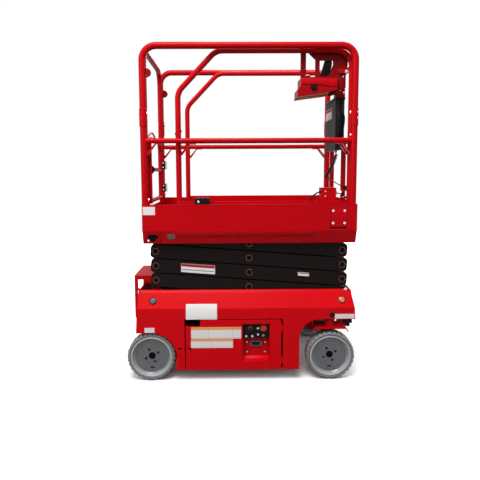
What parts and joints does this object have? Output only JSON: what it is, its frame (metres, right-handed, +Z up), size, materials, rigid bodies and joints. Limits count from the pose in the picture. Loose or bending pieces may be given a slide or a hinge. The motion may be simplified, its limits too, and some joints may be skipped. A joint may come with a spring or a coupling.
{
  "type": "scissor lift",
  "caption": "Compact self-propelled scissor lift, folded, with steered front wheels, guarded platform, slide-out extension deck, rear gate and side doors.",
  "frame": {"origin": "on the floor, midway between the axles and on the lift's middle plane", "axes": "+X towards the steered front wheels, +Y to the far side, +Z up"},
  "size_m": [1.32, 0.76, 1.92],
  "materials": {
    "red_paint": "gloss",
    "arm_paint": "satin",
    "rim_paint": "satin",
    "tyre_rubber": "matte",
    "steel": "satin",
    "black_case": "matte",
    "lamp": "gloss",
    "dark_steel": "satin",
    "battery_case": "matte",
    "cord_rubber": "matte"
  },
  "bodies": {
    "chassis": {"chassis_deck": "red_paint", "chassis_spine": "red_paint", "side_cover_near": "red_paint", "side_cover_far": "red_paint", "rear_axle": "dark_steel", "front_axle": "red_paint", "rear_step": "red_paint", "battery_pack": "battery_case", "power_unit": "battery_case", "side_lamps": "lamp"},
    "door_near": {"door_near": "red_paint", "ground_panel": "red_paint"},
    "door_far": {"door_far": "red_paint"},
    "knuckle_near": {"knuckle_near": "red_paint"},
    "knuckle_far": {"knuckle_far": "red_paint"},
    "tie_rod": {"tie_rod": "dark_steel"},
    "wheel_rear_near": {"tyre_rear_near": "tyre_rubber", "rim_rear_near": "rim_paint"},
    "wheel_rear_far": {"tyre_rear_far": "tyre_rubber", "rim_rear_far": "rim_paint"},
    "wheel_front_near": {"tyre_front_near": "tyre_rubber", "rim_front_near": "rim_paint"},
    "wheel_front_far": {"tyre_front_far": "tyre_rubber", "rim_front_far": "rim_paint"},
    "inner_1": {"inner_arms_1": "arm_paint"},
    "outer_1": {"outer_arms_1": "arm_paint"},
    "inner_2": {"inner_arms_2": "arm_paint"},
    "outer_2": {"outer_arms_2": "arm_paint"},
    "inner_3": {"inner_arms_3": "arm_paint"},
    "outer_3": {"outer_arms_3": "arm_paint"},
    "inner_4": {"inner_arms_4": "arm_paint"},
    "outer_4": {"outer_arms_4": "arm_paint"},
    "lift_barrel": {"lift_barrel": "dark_steel"},
    "lift_rod": {"lift_rod": "steel"},
    "platform": {"platform_tub": "red_paint", "main_rail_near": "red_paint", "main_rail_far": "red_paint", "rear_hoop": "red_paint", "deck_latch": "red_paint"},
    "gate": {"gate": "red_paint"},
    "extension": {"slide_deck": "red_paint", "slide_rail_near": "red_paint", "slide_rail_far": "red_paint", "front_rail": "red_paint", "control_hanger": "red_paint", "control_box": "red_paint", "manual_box": "black_case", "junction_box": "red_paint", "cord_socket": "steel", "cord_coil": "cord_rubber", "cord_lead": "cord_rubber"}
  },
  "joints": [
    {"name": "lift", "type": "hinge", "parent": "chassis", "child": "inner_1", "pos_m": [-0.493, 0, 0.497], "axis": [0, -1, 0], "range_deg": [0, 46]},
    {"name": "cross_1", "type": "hinge", "parent": "inner_1", "child": "outer_1", "pos_m": [0.05034, 0, 0.5395], "axis": [0, -1, 0], "range_deg": [-92, 0]},
    {"name": "link_1", "type": "hinge", "parent": "outer_1", "child": "inner_2", "pos_m": [-0.493, 0, 0.582], "axis": [0, -1, 0], "range_deg": [0, 92]},
    {"name": "cross_2", "type": "hinge", "parent": "inner_2", "child": "outer_2", "pos_m": [0.05034, 0, 0.6245], "axis": [0, -1, 0], "range_deg": [-92, 0]},
    {"name": "link_2", "type": "hinge", "parent": "outer_2", "child": "inner_3", "pos_m": [-0.493, 0, 0.667], "axis": [0, -1, 0], "range_deg": [0, 92]},
    {"name": "cross_3", "type": "hinge", "parent": "inner_3", "child": "outer_3", "pos_m": [0.05034, 0, 0.7095], "axis": [0, -1, 0], "range_deg": [-92, 0]},
    {"name": "link_3", "type": "hinge", "parent": "outer_3", "child": "inner_4", "pos_m": [-0.493, 0, 0.752], "axis": [0, -1, 0], "range_deg": [0, 92]},
    {"name": "cross_4", "type": "hinge", "parent": "inner_4", "child": "outer_4", "pos_m": [0.05034, 0, 0.7945], "axis": [0, -1, 0], "range_deg": [-92, 0]},
    {"name": "level", "type": "hinge", "parent": "outer_4", "child": "platform", "pos_m": [-0.493, 0, 0.837], "axis": [0, -1, 0], "range_deg": [0, 46]},
    {"name": "cylinder_pivot", "type": "hinge", "parent": "outer_1", "child": "lift_barrel", "pos_m": [0.59368, 0, 0.497], "axis": [0, -1, 0], "range_deg": [-8.57, 0]},
    {"name": "cylinder_rod", "type": "slide", "parent": "lift_barrel", "child": "lift_rod", "axis": [-0.9931, 0, 0.117], "range_m": [0, 0.2794]},
    {"name": "extend", "type": "slide", "parent": "platform", "child": "extension", "axis": [1, 0, 0], "range_m": [0, 0.6]},
    {"name": "gate_hinge", "type": "hinge", "parent": "platform", "child": "gate", "pos_m": [-0.541, 0.2777, 0], "axis": [0, 0, 1], "range_deg": [0, 85]},
    {"name": "door_near_hinge", "type": "hinge", "parent": "chassis", "child": "door_near", "pos_m": [0.2377, -0.376, 0], "axis": [0, 0, 1], "range_deg": [0, 90]},
    {"name": "door_far_hinge", "type": "hinge", "parent": "chassis", "child": "door_far", "pos_m": [0.2377, 0.376, 0], "axis": [0, 0, -1], "range_deg": [0, 90]},
    {"name": "steer_near", "type": "hinge", "parent": "chassis", "child": "knuckle_near", "pos_m": [0.52, -0.335, 0.3], "axis": [0, 0, 1], "range_deg": [-45, 45]},
    {"name": "steer_far", "type": "hinge", "parent": "chassis", "child": "knuckle_far", "pos_m": [0.52, 0.335, 0.3], "axis": [0, 0, 1], "range_deg": [-45, 45]},
    {"name": "tie_rod_pin", "type": "hinge", "parent": "knuckle_near", "child": "tie_rod", "pos_m": [0.615, -0.335, 0.34], "axis": [0, 0, 1], "range_deg": [-45, 45]},
    {"name": "spin_rear_near", "type": "hinge", "parent": "chassis", "child": "wheel_rear_near", "pos_m": [-0.52, -0.335, 0.14], "axis": [0, 1, 0], "continuous": true},
    {"name": "spin_front_near", "type": "hinge", "parent": "knuckle_near", "child": "wheel_front_near", "pos_m": [0.52, -0.335, 0.14], "axis": [0, 1, 0], "continuous": true},
    {"name": "spin_rear_far", "type": "hinge", "parent": "chassis", "child": "wheel_rear_far", "pos_m": [-0.52, 0.335, 0.14], "axis": [0, 1, 0], "continuous": true},
    {"name": "spin_front_far", "type": "hinge", "parent": "knuckle_far", "child": "wheel_front_far", "pos_m": [0.52, 0.335, 0.14], "axis": [0, 1, 0], "continuous": true}
  ],
  "couplings": [
    {"joint": "cross_1", "follows": "lift", "ratio": -2},
    {"joint": "link_1", "follows": "lift", "ratio": 2},
    {"joint": "cross_2", "follows": "lift", "ratio": -2},
    {"joint": "link_2", "follows": "lift", "ratio": 2},
    {"joint": "cross_3", "follows": "lift", "ratio": -2},
    {"joint": "link_3", "follows": "lift", "ratio": 2},
    {"joint": "cross_4", "follows": "lift", "ratio": -2},
    {"joint": "level", "follows": "lift", "ratio": 1},
    {"joint": "cylinder_pivot", "follows": "lift", "ratio": -0.18609},
    {"joint": "cylinder_rod", "follows": "lift", "m_per_rad": 0.34733},
    {"joint": "steer_far", "follows": "steer_near", "ratio": 1},
    {"joint": "tie_rod_pin", "follows": "steer_near", "ratio": -1}
  ]
}
